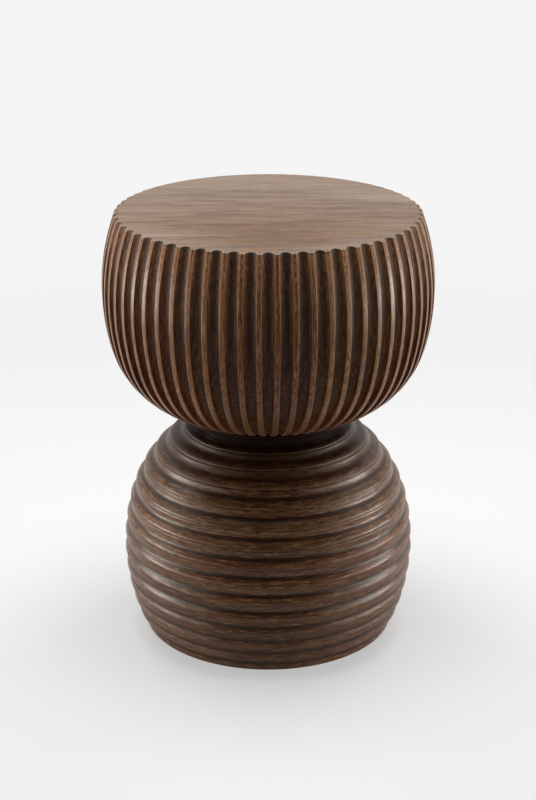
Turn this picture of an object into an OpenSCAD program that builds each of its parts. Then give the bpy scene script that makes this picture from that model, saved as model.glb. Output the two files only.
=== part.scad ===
// Round wooden stool: a fluted bowl of glued staves on a ribbed base of turned rings,
// closed by a flat seat of edge glued strips on a core disc and drawn together by one bolt in the neck.
// Origin in the middle of the foot on the floor, +Z up, the grain of the seat along X.

/* [Heights] */
// Thickness of the felt under the foot
felt_thickness = 2; // [1:0.5:4]
// Thickness of one ring of the base
ring_thickness = 32; // [28:0.5:36]
// Height of the recessed neck between the base and the collar
neck_height = 15; // [10:0.5:20]
// Thickness of the collar under the bowl
collar_thickness = 7; // [5:0.5:10]
// Length of the bowl staves, from the collar up to the seat strips
stave_length = 199; // [185:1:210]
// Thickness of the seat strips
strip_thickness = 3; // [2.5:0.5:6]

/* [Bowl outline] */
// Radius of the bowl at its widest, over the reeds
bowl_radius = 167.5; // [160:0.5:175]
// Height of the widest place of the bowl, measured down from the seat
belly_drop = 78.2; // [70:0.1:90]
// Radius of the long arc down the side of the bowl
bowl_side_arc = 221.5; // [200:0.5:240]
// Angle below the widest place at which the side turns under
turn_under_angle = 14.5; // [9:0.5:20]
// Radius at which the reeds end above the collar
reed_end_radius = 99.5; // [96:0.5:103]
// Radius of the collar, a little behind the ends of the reeds
collar_radius = 94.3; // [89:0.1:95]

/* [Reeds and flutes] */
// Reeds round the bowl, a multiple of the staves
reed_count = 60; // [48:12:72]
// Width of a reed where the bowl is widest
reed_width = 7.5; // [5:0.1:9]
// Depth of the flutes between the reeds, where the bowl is widest
flute_depth = 6; // [4.5:0.5:7.5]
// Depth of the flutes where they end at the collar
flute_end_depth = 2; // [1:0.5:4]
// Width of the sloping ends of the reeds, from the rim in to the flat face of the seat
rim_width = 4.6; // [4:0.1:6]
// Depth by which these ends slope down to the rim
rim_drop = 1.2; // [0.6:0.1:1.4]

/* [Base outline] */
// Radius of the base at its widest, over the ribs
base_radius = 151; // [145:0.5:158]
// Height of the widest place of the base above the floor
base_belly_height = 94; // [85:0.1:105]
// Radius of the long arc down the side of the base
base_side_arc = 207; // [185:0.5:240]
// Angle above the widest place at which the shoulder begins
shoulder_angle = 14.4; // [10:0.1:20]
// Angle below the widest place at which the side draws in to the foot
foot_turn_angle = 15.4; // [12:0.1:20]
// Radius of the arc that draws in to the foot
foot_arc = 157; // [145:0.5:180]
// Radius of the neck
neck_radius = 78; // [72:0.5:84]

/* [Ribs] */
// Turned ribs from the neck down to the foot
rib_count = 14; // [11:1:17]
// Depth of the hollows between the ribs
rib_depth = 3; // [1.5:0.1:4.5]
// How far the last rib draws in under itself at the foot
foot_tuck = 5.5; // [3.5:0.5:9]

/* [Hollow inside] */
// Radius of the bore through the lower rings
ring_bore = 65; // [50:1:72]
// Distance from the middle of the bowl to the flat inner face of a stave
stave_inner = 84; // [78:1:90]
// Height of the foot shoulder inside the bowl, above the collar
shoulder_height = 14; // [10:0.5:20]
// Radius of the bore under that shoulder
shoulder_bore = 65; // [55:1:72]
// Thickness of the disc that closes the bowl below
floor_thickness = 30; // [24:1:36]
// Thickness of the core disc under the seat strips
core_thickness = 18; // [15:0.5:22]
// Width of the ledge in the staves that carries the core disc
ledge_width = 16; // [14:0.5:20]
// Radius of the cover disc under the base
cover_radius = 79; // [76:0.5:88]
// Thickness of the cover disc
cover_thickness = 9; // [6:0.5:14]

/* [Wooden joints] */
// Flute in which the inner seat joints run out, counted from the side of the seat
inner_joint_flute = 2; // [1:1:3]
// Flute in which the outer seat joints run out, counted from the side of the seat
outer_joint_flute = 6; // [5:1:8]
// Radius of the turned spigot under the neck
spigot_radius = 50; // [44:0.5:58]
// Length of that spigot
spigot_length = 10; // [7:0.5:14]
// Thickness of the splines between the staves
spline_thickness = 6; // [4:0.5:8]
// Width of the splines across the joint
spline_width = 24; // [16:1:30]
// Length of the splines
spline_length = 120; // [90:1:128]
// Depth of their upper end below the ledge
spline_drop = 12; // [8:1:20]
// Distance of the splines from the middle of the bowl
spline_place = 120; // [112:1:128]
// Diameter of the dowels between the rings
ring_dowel_d = 10; // [8:1:12]
// Length of the dowels between the rings
ring_dowel_length = 30; // [20:1:31]
// Distance of these dowels from the middle of the base
ring_dowel_place = 82; // [80:0.5:84]
// Diameter of the dowels through the neck
neck_dowel_d = 12; // [8:1:14]
// Distance of these dowels from the middle of the neck
neck_dowel_place = 38; // [35:0.5:40]
// Depth of the neck dowels in the base and in the bowl floor
neck_dowel_depth = 12; // [8:0.5:16]

/* [Bolt and screws] */
// Diameter of the neck bolt
bolt_d = 12; // [10:1:14]
// Length of the neck bolt under its head
bolt_length = 120; // [118:1:130]
// Width of the bolt head and nut across the flats
bolt_flats = 19; // [17:1:22]
// Height of the bolt head
bolt_head = 7.5; // [6:0.5:9]
// Height of the nut
nut_height = 10; // [8:0.5:12]
// Radius of the washers
washer_radius = 22; // [18:0.5:26]
// Thickness of the washers
washer_thickness = 3; // [2:0.5:4]
// Diameter of the wood screws
screw_d = 4; // [3:0.5:5]
// Length of the screws through the core disc
core_screw_length = 35; // [30:1:40]
// Length of the cover screws
cover_screw_length = 22; // [18:1:30]
// Distance of the cover screws from the middle
cover_screw_place = 72; // [70.5:0.5:73]

/* [Fits] */
// Gap all round a dowel, spigot or disc in its seat
fit_gap = 0.05; // [0.02:0.01:0.1]
// Gap at the blind end of a dowel, spigot, screw or spline
end_gap = 0.5; // [0.2:0.1:1]
// Gap all round the bolt in its holes
bolt_gap = 0.5; // [0.2:0.1:1]

/* [Hidden] */

// A circle of this many steps stands for a true circle.
round_steps = 96;
// Room by which a cut runs past the faces it opens.
past = 1;

// Counts that go with the names of the pieces
stave_count = 12;
ring_count = 7;
cover_screw_count = 6;
dowels_per_ring_joint = 4;
neck_dowel_count = 4;
neck_dowel_turn = 45;

// Heights above the floor
foot_z = felt_thickness;
base_top_z = foot_z + ring_count * ring_thickness;
collar_z = base_top_z + neck_height;
bowl_z = collar_z + collar_thickness;
strip_z = bowl_z + stave_length;
seat_z = strip_z + strip_thickness;
shoulder_z = bowl_z + shoulder_height;
ledge_z = strip_z - core_thickness;
spigot_z = base_top_z - spigot_length;

// Angles round the bowl
stave_angle = 360 / stave_count;
reed_pitch = 360 / reed_count;
reeds_per_stave = reed_count / stave_count;
flute_angle = reed_pitch - 360 * reed_width / (2 * PI * bowl_radius);

// Radius of the arc that leaves one point square to a direction and meets another point
function joining_arc(from, direction, to) =
    let (way = from - to) (way * way) / (2 * (way * direction));

// The side arc of the bowl, then the arc that turns under to the collar.
// The second crosses the first at a slight angle, and leaves its circle again above the turn.
turn_cross_angle = 1.5;
turn_overlap = 2;
under_angle = turn_under_angle + turn_cross_angle;
under_start = [cos(under_angle), -sin(under_angle)];
bowl_side_centre = [bowl_radius - bowl_side_arc, seat_z - belly_drop];
function side_radius(z) =
    bowl_side_centre[0] + sqrt(pow(bowl_side_arc, 2) - pow(z - bowl_side_centre[1], 2));

// The rim over the reeds, and the flat face of the seat inside their sloping ends
rim_radius = side_radius(seat_z);
seat_face_radius = rim_radius - rim_width;

// The arc of the flutes is centred a little above that of the reeds,
// so that the flutes grow shallow towards the rim and run out at the edge of the flat face
face_edge = 0.2;
flute_rise = belly_drop - sqrt(pow(bowl_side_arc - flute_depth, 2)
                               - pow(seat_face_radius + face_edge - bowl_side_centre[0], 2));
function side_centre(depth) = bowl_side_centre + [0, flute_rise * depth / flute_depth];
function bowl_turn(depth) = side_centre(depth)
    + (bowl_side_arc - depth) * [cos(turn_under_angle), -sin(turn_under_angle)];

// The reeds end above the collar, and the bottom of the flutes runs in a little above their ends
bowl_end = [reed_end_radius, bowl_z];
under_arc = joining_arc(bowl_turn(0), under_start, bowl_end);
bowl_end_normal = (bowl_end - (bowl_turn(0) - under_arc * under_start)) / under_arc;
flute_end = bowl_end - flute_end_depth * bowl_end_normal;

// The side arc of the base, the shoulder that closes in to the neck and the arc in to the foot
base_side_centre = [base_radius - base_side_arc, base_belly_height];
shoulder_start = [cos(shoulder_angle), sin(shoulder_angle)];
shoulder_turn = base_side_centre + base_side_arc * shoulder_start;
base_end = [neck_radius, base_top_z];
shoulder_arc = rib_depth
    + joining_arc(shoulder_turn - rib_depth * shoulder_start, shoulder_start, base_end);
shoulder_centre = shoulder_turn - shoulder_arc * shoulder_start;
neck_angle = asin((base_top_z - shoulder_centre[1]) / (shoulder_arc - rib_depth));
foot_centre = base_side_centre
    + (base_side_arc - foot_arc) * [cos(foot_turn_angle), -sin(foot_turn_angle)];
foot_angle = asin((foot_z - foot_centre[1]) / (foot_arc - foot_tuck));

// Length down the outline of the base, from the neck to the foot
degree = PI / 180;
shoulder_length = (neck_angle - shoulder_angle) * degree * shoulder_arc;
foot_turn_length = shoulder_length + (shoulder_angle + foot_turn_angle) * degree * base_side_arc;
outline_length = foot_turn_length - (foot_turn_angle + foot_angle) * degree * foot_arc;

// The first rib is a little narrower, and below the shoulder the ribs close up
first_rib_cut = 0.24;
close_up = 0.012;
close_up_from = rib_count / 3;
rib_steps = 10;
function rib_law(i) = i <= 0 ? 0 : i - first_rib_cut - close_up * pow(max(0, i - close_up_from), 2);
function rib_start(i) = outline_length * rib_law(i) / rib_law(rib_count);

// A point a given way down an arc from the angle where it starts, and a given depth under it
function arc_point(centre, arc, start, way, depth) =
    let (a = start - way / arc / degree) centre + (arc - depth) * [cos(a), sin(a)];

// A point a given way down the outline of the base, and a given depth under it
function outline_point(way, depth) = way < shoulder_length
    ? arc_point(shoulder_centre, shoulder_arc, neck_angle, way, depth)
    : way < foot_turn_length
        ? arc_point(base_side_centre, base_side_arc, shoulder_angle, way - shoulder_length, depth)
        : arc_point(foot_centre, foot_arc, -foot_turn_angle, way - foot_turn_length, depth);

// Depth under the outline at a share of the way across a rib, with the last one drawn in
function rib_hollow(i, share) =
    (i == rib_count - 1 && share > 0.5 ? foot_tuck : rib_depth) * (1 + cos(360 * share)) / 2;
function rib_point(i, share) =
    outline_point(rib_start(i) + share * (rib_start(i + 1) - rib_start(i)), rib_hollow(i, share));

// Outline of the bowl at a depth under the reeds, with its under arc led through a given end
module bowl_outline(depth, end) {
    turn = bowl_turn(depth);
    arc = joining_arc(turn, under_start, end);
    intersection() {
        translate(side_centre(depth)) circle(r = bowl_side_arc - depth, $fn = round_steps);
        union() {
            translate(turn - arc * under_start) circle(r = arc, $fn = round_steps);
            translate([0, turn[1] + turn_overlap]) square([bowl_radius + past, seat_z - turn[1]]);
        }
    }
}

// The bowl over its reeds between two heights, round a given angle
module reeded_band(low_z, high_z, span) {
    rotate_extrude(angle = span, $fn = round_steps) intersection() {
        bowl_outline(0, bowl_end);
        translate([0, low_z]) square([bowl_radius + past, high_z - low_z]);
    }
}

// The flutes between two heights, by their numbers counted round from the X axis
module flutes(low_z, high_z, first, last) {
    for (i = [first:last])
        rotate([0, 0, i * reed_pitch - flute_angle / 2])
            rotate_extrude(angle = flute_angle, $fn = round_steps) difference() {
                translate([shoulder_bore, low_z - past])
                    square([bowl_radius + past - shoulder_bore, high_z - low_z + 2 * past]);
                bowl_outline(flute_depth, flute_end);
            }
}

// A prism with one flat face for each stave, as far from the axis as given
module stave_sided_prism(flat_distance, height) {
    cylinder(h = height, r = flat_distance / cos(stave_angle / 2), $fn = stave_count);
}

// Copies its children evenly round the axis
module around(count, radius, first_angle) {
    for (i = [0:count - 1])
        rotate([0, 0, first_angle + i * 360 / count]) translate([radius, 0, 0]) children();
}

// A hole or a pin along Z between two heights
module upright(diameter, low_z, high_z) {
    translate([0, 0, low_z]) cylinder(h = high_z - low_z, d = diameter, $fn = round_steps);
}

// A countersunk wood screw, head down at the origin, its point up, with a gap round it
screw_head_radius = screw_d;
screw_point = screw_d;
screw_tip_radius = 0.3;
module wood_screw(length, gap) {
    cylinder(h = screw_d / 2, r1 = screw_head_radius + gap, r2 = screw_d / 2 + gap,
             $fn = round_steps);
    cylinder(h = length - screw_point, r = screw_d / 2 + gap, $fn = round_steps);
    translate([0, 0, length - screw_point])
        cylinder(h = screw_point, r1 = screw_d / 2 + gap, r2 = screw_tip_radius + gap,
                 $fn = round_steps);
    if (gap > 0)
        upright(2 * (screw_tip_radius + gap), length - screw_point, length + end_gap);
}

// Seat

core_inner = stave_inner + ledge_width;

module core_screw(gap) {
    translate([stave_inner + ledge_width / 2, 0, strip_z])
        mirror([0, 0, 1]) wood_screw(core_screw_length, gap);
}

module core_screw_set(gap) {
    around(stave_count, 0, stave_angle / 2) core_screw(gap);
}

// The joints run out in the flutes, so that no reed is split
function flute_y(flute) = (rim_radius - rim_width / 2) * sin(flute * reed_pitch);
strip_joints = [-flute_y(outer_joint_flute), -flute_y(inner_joint_flute),
                flute_y(inner_joint_flute), flute_y(outer_joint_flute)];
strip_edges = concat([-bowl_radius - past], strip_joints, [bowl_radius + past]);

// The seat as one disc, with the slope at its rim
module seat_disc() {
    outside = side_radius(strip_z) + past;
    rotate_extrude($fn = round_steps) intersection() {
        bowl_outline(0, bowl_end);
        polygon([
            [0, strip_z], [outside, strip_z],
            [outside, seat_z - rim_drop / rim_width * (outside - seat_face_radius)],
            [seat_face_radius, seat_z], [0, seat_z]
        ]);
    }
}

module seat_strip(number) {
    low_y = strip_edges[number - 1];
    color("rosybrown") difference() {
        intersection() {
            seat_disc();
            translate([-bowl_radius - past, low_y, strip_z - past])
                cube([2 * (bowl_radius + past), strip_edges[number] - low_y,
                      strip_thickness + 2 * past]);
        }
        flutes(strip_z, seat_z, 1, reed_count);
    }
}

module seat_core() {
    color("tan") difference() {
        translate([0, 0, ledge_z]) stave_sided_prism(core_inner - fit_gap, core_thickness);
        core_screw_set(fit_gap);
    }
}

module core_screws() {
    color("silver") core_screw_set(0);
}

// Bowl

spline_top_z = ledge_z - spline_drop;

module spline_bar(gap, ends) {
    translate([spline_place - spline_thickness / 2 - gap, -spline_width / 2 - gap,
               spline_top_z - spline_length - ends])
        cube([spline_thickness + 2 * gap, spline_width + 2 * gap, spline_length + 2 * ends]);
}

module bowl_stave(number) {
    color("saddlebrown") rotate([0, 0, (number - 1) * stave_angle]) difference() {
        reeded_band(bowl_z, strip_z, stave_angle);
        flutes(bowl_z, strip_z, 0, reeds_per_stave);
        upright(2 * shoulder_bore, bowl_z - past, shoulder_z + past);
        translate([0, 0, shoulder_z]) stave_sided_prism(stave_inner, strip_z - shoulder_z + past);
        translate([0, 0, ledge_z]) stave_sided_prism(core_inner, core_thickness + past);
        for (side = [0, 1])
            rotate([0, 0, side * stave_angle]) spline_bar(fit_gap, end_gap);
        rotate([0, 0, stave_angle / 2]) core_screw(fit_gap);
    }
}

module stave_splines() {
    color("burlywood") around(stave_count, 0, 0) spline_bar(0, 0);
}

module bowl_floor() {
    color("tan") difference() {
        translate([0, 0, shoulder_z]) stave_sided_prism(stave_inner - fit_gap, floor_thickness);
        upright(bolt_d + 2 * bolt_gap, shoulder_z - past, shoulder_z + floor_thickness + past);
        around(neck_dowel_count, neck_dowel_place, neck_dowel_turn)
            upright(neck_dowel_d + 2 * fit_gap, shoulder_z - past,
                    shoulder_z + neck_dowel_depth + end_gap);
    }
}

// Neck

// The collar edge swells by an arc a little flatter than a half circle
collar_edge_flatness = 1.72;
collar_edge_arc = collar_edge_flatness * collar_thickness / 2;

module neck_block() {
    color("sienna") difference() {
        union() {
            upright(2 * (spigot_radius - fit_gap), spigot_z, base_top_z + past);
            upright(2 * neck_radius, base_top_z, collar_z + past);
            rotate_extrude($fn = round_steps) intersection() {
                union() {
                    translate([collar_radius - collar_edge_arc, collar_z + collar_thickness / 2])
                        circle(r = collar_edge_arc, $fn = round_steps);
                    translate([0, collar_z])
                        square([collar_radius - collar_edge_arc, collar_thickness]);
                }
                translate([0, collar_z]) square([collar_radius + past, collar_thickness]);
            }
            upright(2 * (shoulder_bore - fit_gap), bowl_z - past, shoulder_z);
        }
        upright(bolt_d + 2 * bolt_gap, spigot_z - past, shoulder_z + past);
        around(neck_dowel_count, neck_dowel_place, neck_dowel_turn)
            upright(neck_dowel_d + 2 * fit_gap, spigot_z - past, shoulder_z + past);
    }
}

module neck_dowels() {
    color("burlywood") around(neck_dowel_count, neck_dowel_place, neck_dowel_turn)
        upright(neck_dowel_d, spigot_z - neck_dowel_depth, shoulder_z + neck_dowel_depth);
}

// Bolt through the floor of the bowl, the neck and the top ring

bolt_seat_z = shoulder_z + floor_thickness + washer_thickness;
nut_seat_z = base_top_z - ring_thickness - washer_thickness;

hexagon_sides = 6;
module hexagon(low_z, height) {
    translate([0, 0, low_z])
        cylinder(h = height, r = bolt_flats / 2 / cos(180 / hexagon_sides), $fn = hexagon_sides);
}

module neck_bolt() {
    color("silver") {
        hexagon(bolt_seat_z, bolt_head);
        upright(bolt_d, bolt_seat_z - bolt_length, bolt_seat_z + past);
    }
}

module washer(low_z) {
    color("gainsboro") difference() {
        upright(2 * washer_radius, low_z, low_z + washer_thickness);
        upright(bolt_d + 2 * bolt_gap, low_z - past, low_z + washer_thickness + past);
    }
}

module upper_washer() {
    washer(bolt_seat_z - washer_thickness);
}

module lower_washer() {
    washer(nut_seat_z);
}

module neck_nut() {
    color("silver") difference() {
        hexagon(nut_seat_z - nut_height, nut_height);
        upright(bolt_d + 2 * fit_gap, nut_seat_z - nut_height - past, nut_seat_z + past);
    }
}

// Base

module base_outline() {
    polygon(concat(
        [[0, foot_z], [0, base_top_z]],
        [for (i = [0:rib_count - 1], k = [0:rib_steps - 1]) rib_point(i, k / rib_steps)],
        [rib_point(rib_count - 1, 1)]
    ));
}

// The dowels of one joint, in the gaps of those in the joint below
module ring_dowel_set(joint, diameter, length) {
    joint_z = foot_z + joint * ring_thickness;
    around(dowels_per_ring_joint, ring_dowel_place, joint % 2 * 180 / dowels_per_ring_joint)
        upright(diameter, joint_z - length / 2, joint_z + length / 2);
}

module ring_dowel_holes(joint) {
    ring_dowel_set(joint, ring_dowel_d + 2 * fit_gap, ring_dowel_length + 2 * end_gap);
}

module cover_screw_set(gap) {
    around(cover_screw_count, cover_screw_place, 0)
        translate([0, 0, foot_z]) wood_screw(cover_screw_length, gap);
}

module base_ring(number) {
    low_z = foot_z + (number - 1) * ring_thickness;
    high_z = low_z + ring_thickness;
    color("saddlebrown") difference() {
        rotate_extrude($fn = round_steps) intersection() {
            base_outline();
            translate([0, low_z]) square([base_radius + past, ring_thickness]);
        }
        if (number < ring_count) {
            upright(2 * ring_bore, low_z - past, high_z + past);
            ring_dowel_holes(number);
        }
        if (number > 1)
            ring_dowel_holes(number - 1);
        if (number == 1) {
            upright(2 * (cover_radius + fit_gap), low_z - past, low_z + cover_thickness);
            cover_screw_set(fit_gap);
        }
        if (number == ring_count) {
            upright(2 * spigot_radius, spigot_z, high_z + past);
            upright(bolt_d + 2 * bolt_gap, low_z - past, high_z);
            around(neck_dowel_count, neck_dowel_place, neck_dowel_turn)
                upright(neck_dowel_d + 2 * fit_gap, spigot_z - neck_dowel_depth - end_gap, high_z);
        }
    }
}

module ring_dowels() {
    color("burlywood") for (joint = [1:ring_count - 1])
        ring_dowel_set(joint, ring_dowel_d, ring_dowel_length);
}

module base_cover() {
    color("tan") difference() {
        upright(2 * cover_radius, foot_z, foot_z + cover_thickness);
        cover_screw_set(fit_gap);
    }
}

module cover_screws() {
    color("silver") cover_screw_set(0);
}

// The felt stops short of the foot edge
felt_inset = 4;
felt_radius = outline_point(outline_length, foot_tuck)[0] - felt_inset;

module felt_foot() {
    color("dimgray") upright(2 * felt_radius, 0, felt_thickness);
}

seat_strip(1);  // seat_strip_1
seat_strip(2);  // seat_strip_2
seat_strip(3);  // seat_strip_3
seat_strip(4);  // seat_strip_4
seat_strip(5);  // seat_strip_5
seat_core();
core_screws();
bowl_stave(1);  // bowl_stave_01
bowl_stave(2);  // bowl_stave_02
bowl_stave(3);  // bowl_stave_03
bowl_stave(4);  // bowl_stave_04
bowl_stave(5);  // bowl_stave_05
bowl_stave(6);  // bowl_stave_06
bowl_stave(7);  // bowl_stave_07
bowl_stave(8);  // bowl_stave_08
bowl_stave(9);  // bowl_stave_09
bowl_stave(10);  // bowl_stave_10
bowl_stave(11);  // bowl_stave_11
bowl_stave(12);  // bowl_stave_12
stave_splines();
bowl_floor();
neck_block();
neck_dowels();
neck_bolt();
upper_washer();
lower_washer();
neck_nut();
base_ring(1);  // base_ring_1
base_ring(2);  // base_ring_2
base_ring(3);  // base_ring_3
base_ring(4);  // base_ring_4
base_ring(5);  // base_ring_5
base_ring(6);  // base_ring_6
base_ring(7);  // base_ring_7
ring_dowels();
base_cover();
cover_screws();
felt_foot();
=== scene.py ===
# Looks of the round fluted stool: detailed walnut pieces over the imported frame, stage, lamps and camera.
import math
import random

import bpy
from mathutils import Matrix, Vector


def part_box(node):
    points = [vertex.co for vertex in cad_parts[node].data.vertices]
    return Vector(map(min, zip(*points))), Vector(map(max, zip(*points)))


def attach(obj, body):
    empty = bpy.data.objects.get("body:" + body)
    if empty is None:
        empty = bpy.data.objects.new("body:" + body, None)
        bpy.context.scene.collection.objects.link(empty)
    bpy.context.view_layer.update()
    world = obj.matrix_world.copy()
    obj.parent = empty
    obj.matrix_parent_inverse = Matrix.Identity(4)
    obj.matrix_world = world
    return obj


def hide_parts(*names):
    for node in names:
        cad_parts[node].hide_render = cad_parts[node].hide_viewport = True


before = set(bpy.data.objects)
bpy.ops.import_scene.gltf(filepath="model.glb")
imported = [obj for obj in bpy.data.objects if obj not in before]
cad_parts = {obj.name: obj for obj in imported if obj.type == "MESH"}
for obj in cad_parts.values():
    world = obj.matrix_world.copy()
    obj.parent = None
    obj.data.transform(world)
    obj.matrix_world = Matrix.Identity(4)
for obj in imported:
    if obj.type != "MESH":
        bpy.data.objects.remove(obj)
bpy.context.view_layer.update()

MM = 0.001

# How many pieces of each kind there are
STAVES = 12
RINGS = 7
STRIPS = 5

# Places that the frame gives
felt_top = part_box("base_ring_1")[0].z
base_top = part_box("base_ring_7")[1].z
spigot_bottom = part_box("neck_block")[0].z
bowl_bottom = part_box("bowl_stave_01")[0].z
strip_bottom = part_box("seat_strip_3")[0].z
seat_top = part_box("seat_strip_3")[1].z
floor_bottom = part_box("bowl_floor")[0].z
core_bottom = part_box("seat_core")[0].z
base_radius = max(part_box(f"base_ring_{number}")[1].x for number in range(1, RINGS + 1))
ring_height = (base_top - felt_top) / RINGS

# Outline of the bowl
BOWL_RADIUS = 167.5 * MM
BELLY_DROP = 78.2 * MM
BOWL_SIDE_ARC = 221.5 * MM
TURN_UNDER = math.radians(15.1)
REED_END_RADIUS = 99.5 * MM
OUTLINE_STEPS = 16

# Reeds and flutes
REEDS = 60
PITCH = 2 * math.pi / REEDS
FLUTE_DEPTH = 6.0 * MM
FLUTE_END_DEPTH = 2.0 * MM
FACE_HALF = 2.05 * MM
REED_EDGE = 0.55 * MM
REED_CROWN = 0.1 * MM
EDGE_STEPS = 4
COVE_STEPS = 8

# The most that a reed's face takes of the half pitch, its crown of the depth and its edge of the flank
FACE_SHARE = 0.42
CROWN_SHARE = 0.25
EDGE_SHARE = 1 / 3

# Rows of points up a stave, and the share of them on the arc that turns under
STAVE_ROWS = 72
TURN_SHARE = 0.42

# Sloping ends of the reeds round the flat face of the seat, and how far their rounding reaches
RIM_WIDTH = 3.4 * MM
RIM_DROP = 0.9 * MM
RIM_REACH = 0.55 * MM
ROUND_ROWS = 4

# How far outside the flat face the flutes run out, and the room between a reed's points and a strip joint
FACE_EDGE = 0.2 * MM
JOINT_MARGIN = 1.0 * MM

# The quirk line round the flat face: its size, its start at the slope and where its bottom lies
QUIRK_WIDTH = 0.6 * MM
QUIRK_DEPTH = 0.3 * MM
QUIRK_LIP = 0.1 * MM
QUIRK_BOTTOM = 0.21 * MM
QUIRK_ROWS = 3

# Outline of the base
BASE_BELLY_HEIGHT = 94 * MM
BASE_SIDE_ARC = 207 * MM
SHOULDER_ANGLE = math.radians(14.4)
FOOT_TURN = math.radians(15.4)
FOOT_ARC = 157 * MM
NECK_RADIUS = 78 * MM

# Ribs: the first is narrower, the lower ones close up, and the last tucks in under the foot
RIBS = 14
RIB_DEPTH = 3 * MM
RIB_SHARPNESS = 0.95
FOOT_TUCK = 5.5 * MM
FIRST_RIB_CUT = 0.24
CLOSE_UP = 0.012
CLOSE_UP_FROM = RIBS / 3
RIB_STEPS = 40
ROUND_STEPS = 288

# The fine groove along each rib: where it starts, its deepest place and its end, as shares of the rib
LINE_START = 0.575
LINE_DEEPEST = 0.61
LINE_END = 0.74
LINE_DEPTH = 0.8 * MM

# The neck block: the hub, the cove under the collar and the arc of the collar's swell
HUB_HEIGHT = 15 * MM
HUB_COVE = 1.2 * MM
COVE_MIDDLE = 0.3
COLLAR_RADIUS = 94.3 * MM
SWELL_SHARE = 0.86
SWELL_STEPS = 12

# Hollow inside
STAVE_INNER = 84 * MM
LEDGE_INNER = 100 * MM
SHOULDER_BORE = 65 * MM
RING_BORE = 65 * MM
TOP_RING_BORE = 9.75 * MM
NECK_BORE = 6.5 * MM
SPIGOT_RADIUS = 50 * MM
COVER_RADIUS = 79 * MM
COVER_THICKNESS = 9 * MM
HALF_STAVE = math.pi / STAVES
INSIDE_STEPS = 6
HIDDEN_STEP = 0.2 * MM

# How much painted shade and stain lies in the flutes down at the collar, against the rim, and in the fine
# grooves
LOW_FLUTE_SHADE = 0.6
LINE_SHADE = 0.6

# The painted shadow that the rib above casts under each trough: where it ends and how softly, as shares of
# the rib
RIB_SHADOW_END = 0.24
RIB_SHADOW_FADE = 0.05

# Painted shade on the shoulder, where the bowl keeps the light off, and how much of it goes from rib to rib
SHOULDER_SHADE = 1.1
SHADE_STEP = 0.21

# How far apart the pieces lie in the wood, in metres, so that each has its own grain, and the random seed
STAVE_BOARD = 3.7
STRIP_BOARD = 5.3
RING_BOARD = 2.9
NECK_BOARD = 41.3
GRAIN_SEED = 60

# The angle between two faces past which their edge is crisp
SHARP_ANGLE = math.radians(38)

# Rounds of a search by halving, how near counts as the same place, and a guard for a division
HALVINGS = 40
SAME_PLACE = 1e-6
TINY = 1e-9


def joining_arc(start, direction, end):
    """Radius of the arc that leaves start square to direction and meets end."""
    way = start - end
    return way.dot(way) / (2 * way.dot(direction))


class Bowl:
    """The bowl's outline at any depth under the reeds: a side arc, then an arc that turns under."""

    # The side arc's centre, the radius of the flat face, and how far the centre rises at the full depth
    middle = Vector((BOWL_RADIUS - BOWL_SIDE_ARC, seat_top - BELLY_DROP))
    face = middle.x + math.sqrt(BOWL_SIDE_ARC**2 - BELLY_DROP**2) - RIM_WIDTH
    rise = BELLY_DROP - math.sqrt((BOWL_SIDE_ARC - FLUTE_DEPTH) ** 2 - (face + FACE_EDGE - middle.x) ** 2)

    # The way from the centre to where the bowl turns under, and the end of the reeds at the collar
    under = Vector((math.cos(TURN_UNDER), -math.sin(TURN_UNDER)))
    end = Vector((REED_END_RADIUS, bowl_bottom))

    def __init__(self, depth):
        self.arc = BOWL_SIDE_ARC - depth
        self.centre = self.middle + Vector((0, self.rise * depth / FLUTE_DEPTH))
        turn = self.centre + self.arc * self.under
        reed_turn = self.middle + BOWL_SIDE_ARC * self.under
        reed_arc = joining_arc(reed_turn, self.under, self.end)
        normal = (self.end - (reed_turn - reed_arc * self.under)) / reed_arc
        end = self.end - normal * (FLUTE_END_DEPTH * depth / FLUTE_DEPTH)
        self.under_arc = joining_arc(turn, self.under, end)
        self.under_centre = turn - self.under_arc * self.under

    def side(self, height):
        """Radius of the side arc at a height."""
        return self.centre.x + math.sqrt(self.arc**2 - (height - self.centre.y) ** 2)

    def point(self, share):
        """Radius and height at a share of the way from the collar up to the strips."""
        if share < TURN_SHARE:
            low = -math.asin((self.under_centre.y - bowl_bottom) / self.under_arc)
            angle = low + (-TURN_UNDER - low) * share / TURN_SHARE
            return self.under_centre + self.under_arc * Vector((math.cos(angle), math.sin(angle)))
        high = math.asin((strip_bottom - self.centre.y) / self.arc)
        angle = -TURN_UNDER + (high + TURN_UNDER) * (share - TURN_SHARE) / (1 - TURN_SHARE)
        return self.centre + self.arc * Vector((math.cos(angle), math.sin(angle)))


# The bowl's outlines from the reeds' faces down to the bottom of the flutes
outlines = [Bowl(FLUTE_DEPTH * k / OUTLINE_STEPS) for k in range(OUTLINE_STEPS + 1)]


def between(depth_share, place):
    """A place on the outline at a share of the flute depth, between the ready outlines."""
    at = min(max(depth_share, 0), 1) * OUTLINE_STEPS
    low = min(int(at), OUTLINE_STEPS - 1)
    return place(outlines[low]).lerp(place(outlines[low + 1]), at - low)


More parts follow.
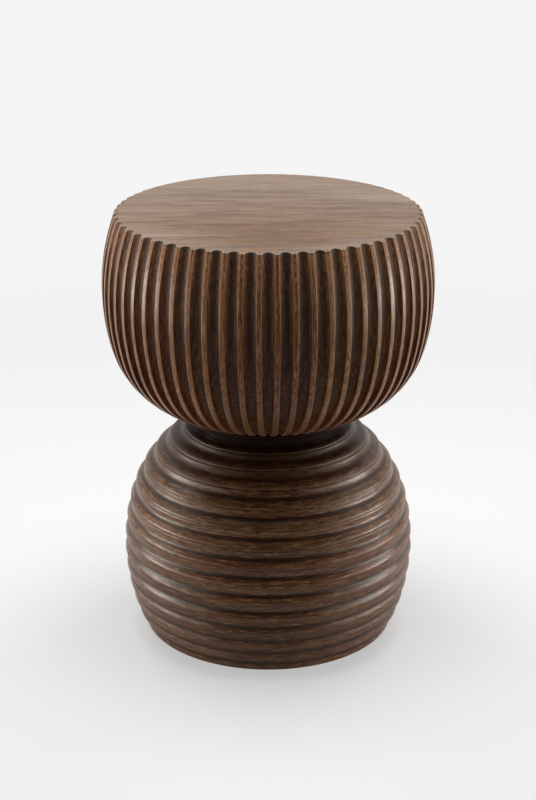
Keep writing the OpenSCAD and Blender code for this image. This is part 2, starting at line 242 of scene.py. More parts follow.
def reed_stations(radius, depth):
    """One pitch of reed and flute at a radius, as (angle from the reed's middle, depth), side to side.

    The reed has a nearly flat face with eased edges, and the flutes are round coves that run into them.
    """
    half_pitch = radius * PITCH / 2
    face = min(FACE_HALF, half_pitch * FACE_SHARE)
    crown = min(REED_CROWN, depth * CROWN_SHARE)
    lean = 2 * math.atan((depth - crown) / (half_pitch - face))
    flank = (half_pitch - face) / math.sin(lean)
    edge = min(REED_EDGE, flank * EDGE_SHARE)
    cove = flank - edge

    # From the reed's middle to the bottom of the flute: the crowned face, the eased edge, then the cove
    right = [(face / 2, crown / 4), (face, crown)]
    for k in range(1, EDGE_STEPS + 1):
        turn = lean * k / EDGE_STEPS
        right.append((face + edge * math.sin(turn), crown + edge * (1 - math.cos(turn))))
    for k in range(COVE_STEPS - 1, 0, -1):
        turn = lean * k / COVE_STEPS
        right.append((half_pitch - cove * math.sin(turn), depth - cove * (1 - math.cos(turn))))
    left = [(-across, down) for across, down in reversed(right)]
    return [(across / radius, down) for across, down in left + [(0, 0)] + right]


def fluted_stations(radius, depth, first, last):
    """Stations round the bowl over whole pitches, as (angle, share of the flute depth)."""
    stations = reed_stations(radius, depth)
    line = []
    for pitch in range(first, last):
        line.append((pitch * PITCH, 1.0))
        line += [((pitch + 0.5) * PITCH + angle, down / depth) for angle, down in stations]
    line.append((last * PITCH, 1.0))
    return line


def to_xyz(angle, radius, height):
    """The point at an angle round the stool's axis, a radius and a height."""
    return Vector((radius * math.cos(angle), radius * math.sin(angle), height))


def add_object(name, data):
    """A new object of the scene that holds a mesh, a lamp or a camera."""
    holder = bpy.data.objects.new(name, data)
    bpy.context.scene.collection.objects.link(holder)
    return holder


def add_mesh(name, points, faces, material):
    """A smooth mesh of points and faces in one material."""
    mesh = bpy.data.meshes.new(name)
    mesh.from_pydata([tuple(point) for point in points], [], faces)
    mesh.validate()
    mesh.polygons.foreach_set("use_smooth", [True] * len(mesh.polygons))
    mesh.materials.append(material)
    return add_object(name, mesh)


def add_piece(name, points, faces, material, slot, *nodes):
    """A closed mesh of points and faces, which rides on the stool's body and stands for CAD nodes."""
    piece = add_mesh(name, points, faces, material)
    piece.data.set_sharp_from_angle(angle=SHARP_ANGLE)
    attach(piece, "root")
    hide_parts(*nodes)
    return piece


def mark_board(piece, board_place, hollows_and_shade=None):
    """Gives a piece its own place in the wood.

    Hollows and shade says for each point how far it lies in a flute or a groove, and how much painted shade
    darkens it there and on the base.
    """
    board = piece.data.attributes.new("board", "FLOAT", "POINT")
    board.data.foreach_set("value", [float(board_place)] * len(piece.data.vertices))
    if hollows_and_shade:
        hollow_and_shade = piece.data.attributes.new("hollow_and_shade", "FLOAT", "POINT")
        hollow_and_shade.data.foreach_set("value", hollows_and_shade)


def loft(rows):
    """Points and faces of a solid through closed rows of as many points each, with a cap at both ends."""
    count = len(rows[0])
    points = [point for row in rows for point in row]
    faces = []
    for row in range(len(rows) - 1):
        for k in range(count):
            here = row * count + k
            beside = row * count + (k + 1) % count
            faces.append((here, beside, beside + count, here + count))
    faces.append(tuple(reversed(range(count))))
    faces.append(tuple(range((len(rows) - 1) * count, len(rows) * count)))
    return points, faces


def share_at(height):
    """Share of the way up the reeds at a height, found by halving."""
    low, high = 0.0, 1.0
    for _ in range(HALVINGS):
        middle = (low + high) / 2
        if outlines[0].point(middle).y < height:
            low = middle
        else:
            high = middle
    return low


def stave_shares():
    """Shares of the way up a stave, with a pair at each step of its inside."""
    shares = [k / STAVE_ROWS for k in range(STAVE_ROWS + 1)]
    for step_height in (floor_bottom, core_bottom):
        near = min(range(1, STAVE_ROWS), key=lambda k: abs(outlines[0].point(shares[k]).y - step_height))
        shares[near] = share_at(step_height)
        shares.append(share_at(step_height + HIDDEN_STEP))
    return sorted(shares)


def stave_inside(height):
    """The inner line of a stave at a height, from its far side back to its near side."""
    flat = STAVE_INNER if height < core_bottom else LEDGE_INNER
    line = []
    for k in range(INSIDE_STEPS + 1):
        aside = HALF_STAVE * (2 * k / INSIDE_STEPS - 1)
        radius = SHOULDER_BORE if height < floor_bottom else flat / math.cos(aside)
        line.append(to_xyz(HALF_STAVE - aside, radius, height))
    return line


def build_stave(number, material):
    """One stave with its five reeds, the shoulder for the bowl's floor and the ledge for the seat's core."""
    rows, hollows_and_shade = [], []
    for share in stave_shares():
        top, bottom = (outlines[k].point(share) for k in (0, -1))
        outer = []
        for angle, down in fluted_stations(top.x, (top - bottom).length, 0, REEDS // STAVES):
            place = between(down, lambda outline: outline.point(share))
            outer.append(to_xyz(angle, place.x, place.y))
            # Painted shade in the flutes, from their depth, weaker down at the collar
            hollows_and_shade.append(down * (LOW_FLUTE_SHADE + (1 - LOW_FLUTE_SHADE) * share**2))
        inner = stave_inside(top.y)
        hollows_and_shade += [1.0] * len(inner)
        rows.append(outer + inner)
    points, faces = loft(rows)
    turn = (number - 1) * 2 * HALF_STAVE
    cosine, sine = math.cos(turn), math.sin(turn)
    points = [(p.x * cosine - p.y * sine, p.x * sine + p.y * cosine, p.z) for p in points]
    name = f"bowl_stave_{number:02d}"
    piece = add_piece(f"carved_{name}", points, faces, material, "stave_walnut", name)
    mark_board(piece, number * STAVE_BOARD + random.random(), hollows_and_shade)


def strip_stations(low_y, high_y):
    """Stations on the +X half of the rim between two joints, as (angle, share of the flute depth)."""
    top, bottom = (outline.side(strip_bottom) for outline in (outlines[0], outlines[-1]))
    quarter = REEDS // 4
    line = []
    for angle, down in fluted_stations(top, top - bottom, -quarter, quarter):
        y = (top + (bottom - top) * down) * math.sin(angle)
        if low_y + JOINT_MARGIN < y < high_y - JOINT_MARGIN and abs(angle) < math.pi / 2 - SAME_PLACE:
            line.append((angle, down))
    return line


def rim_line(down):
    """How the end of a reed or flute runs, from the strips' underside up and in to the flat face."""
    def side(height):
        return between(down, lambda outline: Vector((outline.side(height), height)))

    slope = RIM_DROP / RIM_WIDTH
    low, high = strip_bottom, seat_top
    for _ in range(HALVINGS):
        corner = side((low + high) / 2)
        if corner.y < seat_top - slope * (corner.x - Bowl.face):
            low = corner.y
        else:
            high = corner.y
    inward = Vector((-1, slope)).normalized()

    # The corner is rounded from a start on the side to a stop on the slope
    reach = min(RIM_REACH, (corner.x - Bowl.face) / 2, corner.y - strip_bottom - HIDDEN_STEP)
    start, stop = side(corner.y - reach), corner + inward * reach
    line = [side(strip_bottom), side((strip_bottom + start.y) / 2)]
    for k in range(ROUND_ROWS + 1):
        share = k / ROUND_ROWS
        line.append(start.lerp(corner, share).lerp(corner.lerp(stop, share), share))
    line.append(Vector((Bowl.face, seat_top - QUIRK_LIP)))
    line.append(Vector((Bowl.face - QUIRK_BOTTOM, seat_top - QUIRK_DEPTH)))
    line.append(Vector((Bowl.face - QUIRK_WIDTH, seat_top)))
    return line


def joint_point(place, y):
    """The point at which a joint between strips crosses the round line through a (radius, height)."""
    return Vector((math.sqrt(place.x**2 - y**2), y, place.y))


def strip_rows(stations, low_y, high_y):
    """The closed outlines of a seat strip, from its underside up to the edge of its flat face.

    The second list says how far each point lies in a flute, which darkens it as painted shade.
    """
    lines = [(angle, rim_line(down)) for angle, down in stations]
    joint = rim_line(1.0)
    rows, hollows_and_shade = [], []
    for r in range(len(joint)):
        half = [to_xyz(angle, line[r].x, line[r].y) for angle, line in lines]
        depths = [down if r < len(joint) - QUIRK_ROWS else 0.0 for _, down in stations]
        if abs(low_y) < Bowl.face:
            half.insert(0, joint_point(joint[r], low_y))
            depths.insert(0, depths[0])
        if abs(high_y) < Bowl.face:
            half.append(joint_point(joint[r], high_y))
            depths.append(depths[-1])
        rows.append(half + [Vector((-p.x, p.y, p.z)) for p in reversed(half)])
        hollows_and_shade += depths + depths[::-1]
    return rows, hollows_and_shade


def build_strip(number, material):
    """One thin strip of the seat, with the sloping ends of the reeds at its rim."""
    name = f"seat_strip_{number}"
    low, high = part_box(name)
    low_y = low.y if number > 1 else -BOWL_RADIUS
    high_y = high.y if number < STRIPS else BOWL_RADIUS
    rows, hollows_and_shade = strip_rows(strip_stations(low_y, high_y), low_y, high_y)
    piece = add_piece(f"veneer_{name}", *loft(rows), material, "seat_walnut", name)
    mark_board(piece, number * STRIP_BOARD + random.random(), hollows_and_shade)


def revolve(outline):
    """Points and faces of a closed ring whose section is a closed outline of (radius, height) points."""
    count = len(outline)
    points = []
    for k in range(ROUND_STEPS):
        angle = 2 * math.pi * k / ROUND_STEPS
        points.extend(to_xyz(angle, radius, height) for radius, height in outline)
    faces = []
    for k in range(ROUND_STEPS):
        here = k * count
        there = (k + 1) % ROUND_STEPS * count
        for j in range(count):
            beside = (j + 1) % count
            faces.append((here + j, here + beside, there + beside, there + j))
    return points, faces


class Base:
    """The outline of the base: ribs laid along three arcs, the shoulder, the side and the foot."""

    # The way out to where the shoulder meets the side, the centres of the arcs and the shoulder's radius
    start = Vector((math.cos(SHOULDER_ANGLE), math.sin(SHOULDER_ANGLE)))
    side = Vector((base_radius - BASE_SIDE_ARC, BASE_BELLY_HEIGHT))
    turn = side + BASE_SIDE_ARC * start
    arc = RIB_DEPTH + joining_arc(turn - RIB_DEPTH * start, start, Vector((NECK_RADIUS, base_top)))
    shoulder = turn - arc * start
    foot = side + (BASE_SIDE_ARC - FOOT_ARC) * Vector((math.cos(FOOT_TURN), -math.sin(FOOT_TURN)))

    # The angles at which the outline starts at the neck and ends at the foot
    neck_angle = math.asin((base_top - shoulder.y) / (arc - RIB_DEPTH))
    foot_angle = math.asin((felt_top - foot.y) / (FOOT_ARC - FOOT_TUCK))

    # Each arc's centre and radius, and the angles at which it starts and ends
    arcs = ((shoulder, arc, neck_angle, SHOULDER_ANGLE), (side, BASE_SIDE_ARC, SHOULDER_ANGLE, -FOOT_TURN),
            (foot, FOOT_ARC, -FOOT_TURN, foot_angle))
    length = sum(arc * (first - last) for _, arc, first, last in arcs)

    @classmethod
    def point(cls, way, depth):
        """The point a way down the outline and a depth under it."""
        for centre, arc, first, last in cls.arcs:
            if way <= arc * (first - last) or centre is cls.foot:
                angle = first - way / arc
                return centre + (arc - depth) * Vector((math.cos(angle), math.sin(angle)))
            way -= arc * (first - last)


def rib_law(rib):
    """How far down a rib begins, in ribs: a narrower first one, then ribs that close up."""
    if rib <= 0:
        return 0
    return rib - FIRST_RIB_CUT - CLOSE_UP * max(0, rib - CLOSE_UP_FROM) ** 2


def fine_line(share):
    """Depth of the fine groove along a rib: a crisp upper lip, then a slow rise."""
    if share < LINE_START or share > LINE_END:
        return 0
    if share < LINE_DEEPEST:
        return LINE_DEPTH * (share - LINE_START) / (LINE_DEEPEST - LINE_START)
    return LINE_DEPTH * (1 + math.cos(math.pi * (share - LINE_DEEPEST) / (LINE_END - LINE_DEEPEST))) / 2


def rib_point(rib, share):
    """A point on a rib at a share of the way across it, as (radius, height, painted shade)."""
    start, end = (Base.length * rib_law(n) / rib_law(RIBS) for n in (rib, rib + 1))
    foot = rib == RIBS - 1 and share > 0.5
    depth = (FOOT_TUCK if foot else RIB_DEPTH) * ((1 + math.cos(2 * math.pi * share)) / 2) ** RIB_SHARPNESS
    place = Base.point(start + share * (end - start), depth + fine_line(share))
    # Painted shade: a cast shadow of the rib above under the trough, shade on the shoulder under the bowl,
    # and dark in the fine groove
    ledge = min(max((RIB_SHADOW_END - share) / RIB_SHADOW_FADE, 0), 1)
    shade = SHOULDER_SHADE - SHADE_STEP * (rib + share)
    return Vector((place.x, place.y, max(ledge, shade, LINE_SHADE * fine_line(share) / LINE_DEPTH)))


def base_line():
    """All the points of the ribbed outline, from the neck down to the foot."""
    line = [rib_point(rib, k / RIB_STEPS) for rib in range(RIBS) for k in range(RIB_STEPS)]
    return line + [rib_point(RIBS - 1, 1)]


def crossing(line, height):
    """The point where the outline passes a height."""
    for above, below in zip(line, line[1:]):
        if above.y >= height >= below.y:
            share = (above.y - height) / max(above.y - below.y, TINY)
            return above.lerp(below, share)
    return line[-1]


def build_ring(number, line, material):
    """One turned ring of the base, cut from the ribbed outline, with its bore or its spigot hole."""
    low = felt_top + (number - 1) * ring_height
    high = low + ring_height
    outer = [crossing(line, high)] + [p for p in line if low + SAME_PLACE < p.y < high - SAME_PLACE]
    outer.append(crossing(line, low))
    outline = [(p.x, p.y) for p in outer]
    hollows_and_shade = [p.z for p in outer]
    if number == RINGS:
        outline += [(TOP_RING_BORE, low), (TOP_RING_BORE, spigot_bottom),
                    (SPIGOT_RADIUS, spigot_bottom), (SPIGOT_RADIUS, high)]
    elif number == 1:
        outline += [(COVER_RADIUS, low), (COVER_RADIUS, low + COVER_THICKNESS),
                    (RING_BORE, low + COVER_THICKNESS), (RING_BORE, high)]
    else:
        outline += [(RING_BORE, low), (RING_BORE, high)]
    name = f"base_ring_{number}"
    piece = add_piece(f"turned_{name}", *revolve(outline), material, "ring_walnut", name)
    hollows_and_shade += [1.0] * (len(outline) - len(hollows_and_shade))
    mark_board(piece, number * RING_BOARD + random.random(), hollows_and_shade * ROUND_STEPS)


def build_neck(material):
    """The neck block: a spigot, a recessed hub, a swelled collar and a tenon up into the bowl."""
    hub_top = base_top + HUB_HEIGHT
    half = (bowl_bottom - hub_top) / 2
    swell_arc = SWELL_SHARE * (bowl_bottom - hub_top)
    swell = math.asin(half / swell_arc)
    outline = [(SPIGOT_RADIUS, spigot_bottom), (SPIGOT_RADIUS, base_top), (NECK_RADIUS, base_top)]
    outline.append((NECK_RADIUS, hub_top - HUB_COVE))
    outline.append((NECK_RADIUS + HUB_COVE * COVE_MIDDLE, hub_top - HUB_COVE * COVE_MIDDLE))
    outline.append((NECK_RADIUS + HUB_COVE, hub_top))
    for k in range(SWELL_STEPS + 1):
        angle = swell * (2 * k / SWELL_STEPS - 1)
        radius = COLLAR_RADIUS - swell_arc * (1 - math.cos(angle))
        outline.append((radius, hub_top + half + swell_arc * math.sin(angle)))
    outline += [(SHOULDER_BORE, bowl_bottom), (SHOULDER_BORE, floor_bottom)]
    outline += [(NECK_BORE, floor_bottom), (NECK_BORE, spigot_bottom)]
    piece = add_piece("turned_neck", *revolve(outline[::-1]), material, "neck_walnut", "neck_block")
    mark_board(piece, NECK_BOARD)


class Look:
    """A material, and short calls that build its node tree."""

    def __init__(self, name):
        self.material = bpy.data.materials.new(name)
        self.material.use_nodes = True
        self.tree = self.material.node_tree
        self.tree.nodes.clear()
        self.shader = self.add("BsdfPrincipled")
        self.out = self.add("OutputMaterial")
        self.link(self.shader.outputs[0], self.out.inputs[0])

    def add(self, kind):
        """A new shader node of a kind."""
        return self.tree.nodes.new(f"ShaderNode{kind}")

    def link(self, source, target):
        self.tree.links.new(source, target)

    def put(self, target, value):
        """Links a socket or sets a plain value."""
        if isinstance(value, bpy.types.NodeSocket):
            self.link(value, target)
        elif value is not None:
            target.default_value = value

    def shade(self, name, value):
        """Sets one of the shader's own sockets, or links it."""
        self.put(self.shader.inputs[name], value)

    def coordinates(self):
        """Places in the object's own frame, in metres."""
        return self.add("TexCoord").outputs["Object"]

    def attribute(self, name):
        node = self.add("Attribute")
        node.attribute_name = name
        return node.outputs["Fac"]

    def math(self, kind, a, b):
        node = self.add("Math")
        node.operation = kind
        self.put(node.inputs[0], a)
        self.put(node.inputs[1], b)
        return node.outputs[0]

    def vector(self, kind, a, b):
        node = self.add("VectorMath")
        node.operation = kind
        self.put(node.inputs[0], a)
        self.put(node.inputs[1], b)
        return node.outputs[0]

    def noise(self, vector, scale, detail=4.0, rough=0.55, distortion=0.0):
        node = self.add("TexNoise")
        self.put(node.inputs["Vector"], vector)
        node.inputs["Scale"].default_value = scale
        node.inputs["Detail"].default_value = detail
        node.inputs["Roughness"].default_value = rough
        node.inputs["Distortion"].default_value = distortion
        return node.outputs["Fac"]

    def steps(self, value, low, high, to_low=0.0, to_high=1.0):
        """Spreads a value from one range to another, with soft ends."""
        node = self.add("MapRange")
        node.interpolation_type = "SMOOTHSTEP"
        for socket, x in zip(node.inputs[:5], (value, low, high, to_low, to_high)):
            self.put(socket, x)
        return node.outputs[0]

    def mix(self, share, a, b, kind="MIX"):
        """Mixes two colours. The node's colour sockets are inputs 6 and 7 and output 2."""
        node = self.add("Mix")
        node.data_type = "RGBA"
        node.blend_type = kind
        self.put(node.inputs[0], share)
        self.put(node.inputs[6], a)
        self.put(node.inputs[7], b)
        return node.outputs[2]

    def tinted(self, colour, value, limits, strength, tint):
        """The colour with a tint that comes in as a value passes from one limit to the other."""
        return self.mix(self.math("MULTIPLY", self.steps(value, *limits), strength), colour, tint)

    def bump(self, height, distance, strength, normal=None):
        node = self.add("Bump")
        node.inputs["Strength"].default_value = strength
        node.inputs["Distance"].default_value = distance
        self.put(node.inputs["Height"], height)
        self.put(node.inputs["Normal"], normal)
        return node.outputs[0]


def srgb(red, green, blue):
    """A colour written as on a screen, 0 to 255, in the linear form that shaders take."""
    def linear(value):
        value = value / 255
        return value / 12.92 if value <= 0.04045 else ((value + 0.055) / 1.055) ** 2.4
    return (linear(red), linear(green), linear(blue), 1.0)


WALNUT_DARK = srgb(82, 49, 30)
WALNUT_MID = srgb(121, 82, 54)
WALNUT_LIGHT = srgb(142, 107, 81)
WALNUT_PINK = srgb(136, 88, 66)
WALNUT_GREEN = srgb(112, 90, 58)
WALNUT_PORE = srgb(58, 35, 22)
# Pale reed edges: wear and a painted highlight along them
WALNUT_WORN_GLINT = srgb(186, 142, 104)
# Darkens the hollows and the shaded parts of the base: painted shade, with some stain in the flutes
WALNUT_STAIN_AND_SHADE = (0.28, 0.23, 0.18, 1.0)
WARM_GLOSS = (1.0, 0.9, 0.8, 1.0)

# Which way a board's place shifts the grain
BOARD_WAY = (1.0, 0.37, 0.73)

# How hollow the eased edge of a reed is where its wear and painted highlight start and where they end, and
# where the painted shade and stain come in
WORN_GLINT_START = (0.006, 0.018)
WORN_GLINT_END = (0.13, 0.06)
STAINED_AND_SHADED = (0.25, 1.0)

# How much rougher or smoother the streaks are, and how much rougher the pores are
STREAK_ROUGH = 0.06
STREAK_SMOOTH = 0.04
PORE_ROUGH = 0.15


def walnut_figure(look, grain, streak, fibre, pores, grain_depth, band_depth):
    """The colour of the wood: broad bands, streaks, fine lines and pores."""
    figure = look.noise(grain, scale=22.0, detail=3.0, rough=0.5, distortion=0.6)
    line = look.noise(grain, scale=560.0, detail=3.0, rough=0.6)
    band = look.noise(grain, scale=9.0, detail=2.0, rough=0.5)
    colour = look.mix(look.steps(streak, 0.32, 0.68), WALNUT_DARK, WALNUT_MID)
    colour = look.tinted(colour, figure, (0.45, 0.72), 0.6, WALNUT_LIGHT)
    colour = look.tinted(colour, band, (0.52, 0.72), band_depth, WALNUT_PINK)
    colour = look.tinted(colour, band, (0.48, 0.28), band_depth, WALNUT_GREEN)
    colour = look.tinted(colour, line, (0.5, 0.6), grain_depth, WALNUT_LIGHT)
    colour = look.tinted(colour, fibre, (0.46, 0.6), grain_depth, WALNUT_DARK)
    return look.mix(look.math("MULTIPLY", pores, 0.7), colour, WALNUT_PORE)


def walnut(name, along, tone, roughness=0.32, grain_depth=0.6, band_depth=0.45, ior=1.5, wear_and_glint=0.6, dull=0.3):
    """Oiled walnut. Along is the stretch of the figure on each axis, small along the grain.

    Tone multiplies the colour. Grain and band depth say how strongly the fine lines and the broad bands
    show, wear and glint says how pale the eased reed edges are, as wear and a painted highlight, and dull
    how much rougher the hollows are. The hollows and the shaded parts of the base are darkened as painted
    shade.
    """
    look = Look(name)
    hollow_and_shade = look.attribute("hollow_and_shade")
    shift = look.vector("MULTIPLY", look.attribute("board"), BOARD_WAY)
    grain = look.vector("MULTIPLY", look.vector("ADD", look.coordinates(), shift), along)
    streak = look.noise(grain, scale=85.0, detail=4.0, rough=0.6, distortion=0.25)
    fibre = look.noise(grain, scale=760.0, detail=3.0, rough=0.6)
    pores = look.steps(look.noise(grain, scale=900.0, detail=2.0, rough=0.5), 0.60, 0.72)

    colour = walnut_figure(look, grain, streak, fibre, pores, grain_depth, band_depth)
    colour = look.mix(1.0, colour, (*tone, 1.0), "MULTIPLY")
    # Pale eased edges of the reeds: wear and a painted highlight
    worn_glint = look.math("MULTIPLY", look.steps(hollow_and_shade, *WORN_GLINT_START), look.steps(hollow_and_shade, *WORN_GLINT_END))
    colour = look.mix(look.math("MULTIPLY", worn_glint, wear_and_glint), colour, WALNUT_WORN_GLINT)
    # Painted shade in the flutes, the grooves and on the ribs, with some stain in the flutes
    look.shade("Base Color", look.mix(look.steps(hollow_and_shade, *STAINED_AND_SHADED), colour, WALNUT_STAIN_AND_SHADE, "MULTIPLY"))

    rough = look.steps(streak, 0.3, 0.7, roughness + STREAK_ROUGH, roughness - STREAK_SMOOTH)
    rough = look.math("ADD", rough, look.math("MULTIPLY", hollow_and_shade, dull))
    look.shade("Roughness", look.math("ADD", rough, look.math("MULTIPLY", pores, PORE_ROUGH)))
    look.shade("IOR", ior)
    look.shade("Specular Tint", WARM_GLOSS)
    fine = look.bump(fibre, distance=0.12 * MM, strength=0.5)
    look.shade("Normal", look.bump(pores, distance=-0.10 * MM, strength=0.6, normal=fine))
    return look.material


def plywood(name):
    """Birch plywood: pale faces, with plies that show at the edge."""
    look = Look(name)
    place = look.coordinates()
    plies = look.noise(look.vector("MULTIPLY", place, (0.02, 0.02, 1.0)), scale=640.0, detail=1.0)
    grain = look.noise(look.vector("MULTIPLY", place, (1.0, 12.0, 1.0)), scale=30.0, detail=4.0)
    colour = look.mix(look.steps(grain, 0.35, 0.65), srgb(196, 164, 122), srgb(216, 188, 148))
    look.shade("Base Color", look.tinted(colour, plies, (0.5, 0.6), 0.4, srgb(150, 112, 74)))
    look.shade("Roughness", look.steps(grain, 0.3, 0.7, 0.5, 0.65))
    look.shade("Normal", look.bump(grain, distance=0.1 * MM, strength=0.5))
    return look.material


def beech(name):
    """Beech with its short dark flecks."""
    look = Look(name)
    place = look.vector("MULTIPLY", look.coordinates(), (1.0, 1.0, 0.12))
    fleck = look.steps(look.noise(place, scale=700.0, detail=2.0), 0.6, 0.7)
    grain = look.noise(place, scale=90.0, detail=4.0)
    colour = look.mix(look.steps(grain, 0.35, 0.65), srgb(190, 148, 108), srgb(212, 174, 134))
    look.shade("Base Color", look.mix(look.math("MULTIPLY", fleck, 0.5), colour, srgb(140, 96, 62)))
    look.shade("Roughness", look.steps(grain, 0.3, 0.7, 0.48, 0.6))
    look.shade("Normal", look.bump(fleck, distance=-0.05 * MM, strength=0.5))
    return look.material


def zinc_steel(name):
    """Zinc plated steel with fine turning marks and dull patches."""
    look = Look(name)
    place = look.coordinates()
    marks = look.noise(look.vector("MULTIPLY", place, (1.0, 1.0, 9.0)), scale=500.0, detail=3.0)
    patch = look.noise(place, scale=120.0, detail=4.0)
    colour = look.mix(look.steps(patch, 0.35, 0.7), srgb(168, 170, 172), srgb(198, 198, 192))
    look.shade("Base Color", colour)
    look.shade("Metallic", 1.0)
    look.shade("Roughness", look.steps(patch, 0.3, 0.7, 0.28, 0.46))
    look.shade("Normal", look.bump(marks, distance=0.04 * MM, strength=0.5))
    return look.material


def felt(name):
    """Pressed wool felt, grey brown, with a matted nap."""
    look = Look(name)
    place = look.coordinates()
    nap = look.noise(place, scale=900.0, detail=5.0, rough=0.7, distortion=1.5)
    mottle = look.noise(place, scale=160.0, detail=3.0)
    colour = look.mix(look.steps(mottle, 0.35, 0.65), srgb(70, 64, 58), srgb(92, 85, 77))
    look.shade("Base Color", look.tinted(colour, nap, (0.5, 0.7), 0.4, srgb(120, 112, 102)))
    look.shade("Roughness", look.steps(nap, 0.3, 0.7, 0.85, 0.97))
    look.shade("Sheen Weight", 0.3)
    look.shade("Normal", look.bump(nap, distance=0.4 * MM, strength=0.8))
    return look.material


def dress_nodes(material, *names):
    """Gives CAD nodes that stay their finish."""
    for name in names:
        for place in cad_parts[name].material_slots:
            place.material = material


def build_stool():
    """All the pieces that show, and finishes for the CAD nodes that stay."""
    # The staves' tone is raised above the other walnut, partly as painted light for the bowl's dim lower
    # part
    stave_wood = walnut("walnut_upright", along=(1.0, 1.0, 0.06), tone=(1.6, 1.5, 1.29), grain_depth=0.85)
    seat_wood = walnut("walnut_seat", along=(0.14, 1.0, 1.0), tone=(1.07, 1.38, 1.65), roughness=0.36,
                       grain_depth=0.32, band_depth=0.1, ior=1.65)
    ring_wood = walnut("walnut_turned", along=(0.12, 0.12, 1.0), tone=(1.1, 1.05, 0.92), roughness=0.31,
                       grain_depth=0.95, wear_and_glint=0.0, dull=0.04)
    # The neck is made nearly black as painted shade, for the dark under the bowl
    painted_shade_neck_wood = walnut("walnut_neck_painted_shade", along=(0.07, 0.07, 1.0), tone=(0.07, 0.05, 0.035), roughness=0.25,
                       ior=1.2)
    line = base_line()
    for number in range(1, STAVES + 1):
        build_stave(number, stave_wood)
    for number in range(1, STRIPS + 1):
        build_strip(number, seat_wood)
    for number in range(1, RINGS + 1):
        build_ring(number, line, ring_wood)
    build_neck(painted_shade_neck_wood)
    dress_nodes(plywood("birch_plywood"), "seat_core", "bowl_floor", "base_cover")
    dress_nodes(beech("beech"), "stave_splines", "neck_dowels", "ring_dowels")
    dress_nodes(zinc_steel("zinc_steel"), "core_screws", "neck_bolt", "upper_washer", "lower_washer",
                "neck_nut", "cover_screws")
    dress_nodes(felt("foot_felt"), "felt_foot")


# Stage: a round floor, then a curve up to a wall, in metres
FLOOR_RADII = (0.6, 1.5, 3.0, 4.5)
WALL_CURVE = 1.5
WALL_HEIGHT = 4.0
CURVE_STEPS = 10
STAGE_STEPS = 96

# Its colours to the camera, to the light that it throws back, and where it glows
STAGE_COLOUR = srgb(232, 232, 232)
BOUNCE_COLOUR = (0.2, 0.2, 0.2, 1.0)
GLOW_COLOUR = srgb(245, 245, 245)
STAGE_ROUGHNESS = 0.8
STAGE_SPECULAR = 0.1

# Distances between which its glow grows, and the share of glow beside the stool
FADE_START = 0.3
FADE_END = 1.5
SHADOW_FILL = 0.5

# Where its brightness in gloss starts in front and is full behind, and how bright that is
DIM_FRONT = -0.8
BRIGHT_BACK = 0.2
GLOSS_SHARE = 0.72


def stage_material():
    """Pale to the camera, paler in gloss behind the stool than in front, and dull to all other light.

    Beside the stool half of it glows, so that the shadow still shows, and far away all of it does.
    """
    look = Look("pale_stage")
    place = look.coordinates()
    apart = look.add("SeparateXYZ")
    look.link(place, apart.inputs[0])
    away = look.add("VectorMath")
    away.operation = "LENGTH"
    look.link(look.vector("MULTIPLY", place, (1.0, 1.0, 0.0)), away.inputs[0])
    rays = look.add("LightPath")
    gloss = look.math("MAXIMUM", rays.outputs["Is Glossy Ray"], rays.outputs["Is Transmission Ray"])
    behind = look.steps(apart.outputs["Y"], DIM_FRONT, BRIGHT_BACK, 0.0, GLOSS_SHARE)
    seen = look.math("MAXIMUM", rays.outputs["Is Camera Ray"], look.math("MULTIPLY", gloss, behind))
    look.shade("Base Color", look.mix(seen, BOUNCE_COLOUR, STAGE_COLOUR))
    look.shade("Roughness", STAGE_ROUGHNESS)
    look.shade("Specular IOR Level", STAGE_SPECULAR)
    glow = look.add("Emission")
    glow.inputs["Color"].default_value = GLOW_COLOUR
    far = look.steps(away.outputs["Value"], FADE_START, FADE_END, SHADOW_FILL, 1.0)
    blend = look.add("MixShader")
    look.link(look.math("MULTIPLY", far, seen), blend.inputs[0])
    look.link(look.shader.outputs[0], blend.inputs[1])
    look.link(glow.outputs[0], blend.inputs[2])
    look.link(blend.outputs[0], look.out.inputs[0])
    return look.material


def build_stage():
    """A round floor with a wall that rises from it in a wide curve."""
    rows = [(radius, 0.0) for radius in FLOOR_RADII]
    for k in range(1, CURVE_STEPS + 1):
        turn = math.pi / 2 * k / CURVE_STEPS
        rows.append((FLOOR_RADII[-1] + WALL_CURVE * math.sin(turn), WALL_CURVE * (1 - math.cos(turn))))
    rows.append((FLOOR_RADII[-1] + WALL_CURVE, WALL_HEIGHT))
    points = [Vector((0, 0, 0))]
    for radius, height in rows:
        points += [to_xyz(2 * math.pi * k / STAGE_STEPS, radius, height) for k in range(STAGE_STEPS)]
    faces = [(0, 1 + k, 1 + (k + 1) % STAGE_STEPS) for k in range(STAGE_STEPS)]
    for row in range(len(rows) - 1):
        first = 1 + row * STAGE_STEPS
        for k in range(STAGE_STEPS):
            here = first + k
            beside = first + (k + 1) % STAGE_STEPS
            faces.append((here, here + STAGE_STEPS, beside + STAGE_STEPS, beside))
    stage = add_mesh("stage", points, faces, stage_material())


# Softboxes that stand on both sides, as azimuth from the front, elevation and radiance of the face
SIDE_LAMPS = [(60, 0, 2.8), (90, 0, 10.0), (90, 28, 1.0), (130, 56, 4.2)]
OVERHEAD_LAMP = (0, 90, 9.2)
LAMP_TARGET = Vector((0, 0, 0.28))
LAMP_REACH = 1.7
LAMP_SIZE = 0.9
LOW_HEIGHT = 0.44
ROOM_COLOUR = (0.8, 0.82, 0.85, 1.0)
ROOM_STRENGTH = 0.005


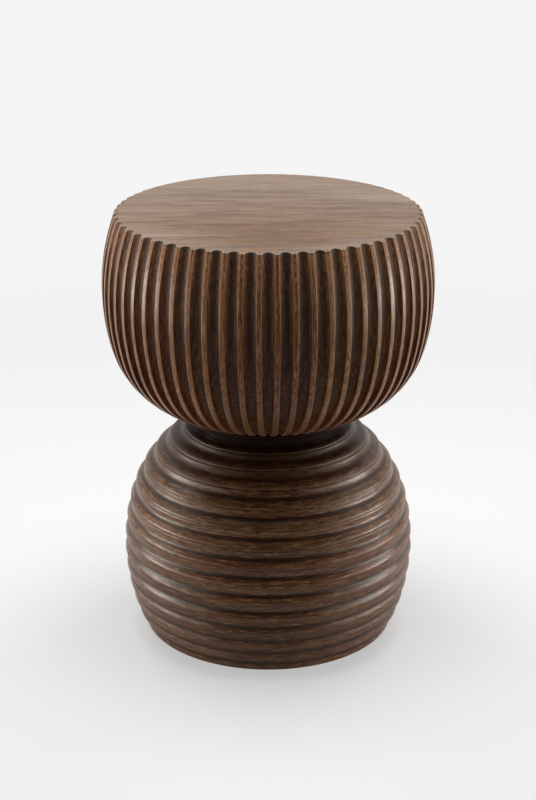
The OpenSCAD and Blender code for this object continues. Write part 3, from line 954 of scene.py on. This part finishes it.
def add_softbox(azimuth, elevation, radiance):
    """A softbox that looks at the stool. One at elevation 0 stands on the floor and ends below the seat."""
    across, up = math.radians(azimuth), math.radians(elevation)
    way = Vector((math.cos(up) * math.sin(across), -math.cos(up) * math.cos(across), math.sin(up)))
    height = LAMP_SIZE if elevation else LOW_HEIGHT
    target = LAMP_TARGET if elevation else Vector((0, 0, LOW_HEIGHT / 2))
    place = target + LAMP_REACH * way
    name = f"softbox_{azimuth % 360}_{elevation}"
    lamp = bpy.data.lights.new(name, "AREA")
    lamp.shape = "RECTANGLE"
    lamp.size = LAMP_SIZE
    lamp.size_y = height
    lamp.energy = radiance * math.pi * LAMP_SIZE * height
    softbox = add_object(name, lamp)
    softbox.location = place
    softbox.rotation_mode = "QUATERNION"
    softbox.rotation_quaternion = (target - place).to_track_quat("-Z", "Y")
    softbox.visible_camera = False


def light_scene():
    """Low and high softboxes at the sides, one overhead, and a faint even light from the room."""
    for azimuth, elevation, radiance in SIDE_LAMPS:
        for side in (1, -1):
            add_softbox(side * azimuth, elevation, radiance)
    add_softbox(*OVERHEAD_LAMP)
    world = bpy.data.worlds.new("room")
    world.use_nodes = True
    background = world.node_tree.nodes["Background"]
    background.inputs["Color"].default_value = ROOM_COLOUR
    background.inputs["Strength"].default_value = ROOM_STRENGTH
    bpy.context.scene.world = world


# The camera's place in metres, its pitch down in degrees, and its focal length and sensor in millimetres
CAMERA_PLACE = (-0.0003, -1.786, 0.924)
CAMERA_PITCH = 20.72
CAMERA_FOCAL = 83.25
CAMERA_SENSOR = 36


def build_camera():
    """The photograph's camera: a long lens that looks down on the seat."""
    lens = bpy.data.cameras.new("camera")
    lens.lens = CAMERA_FOCAL
    lens.sensor_width = CAMERA_SENSOR
    lens.sensor_fit = "AUTO"
    camera = add_object("camera", lens)
    camera.location = CAMERA_PLACE
    camera.rotation_euler = (math.radians(90 - CAMERA_PITCH), 0, 0)
    bpy.context.scene.camera = camera


random.seed(GRAIN_SEED)
build_camera()
build_stool()
build_stage()
light_scene()
bpy.context.scene.view_settings.view_transform = "Standard"
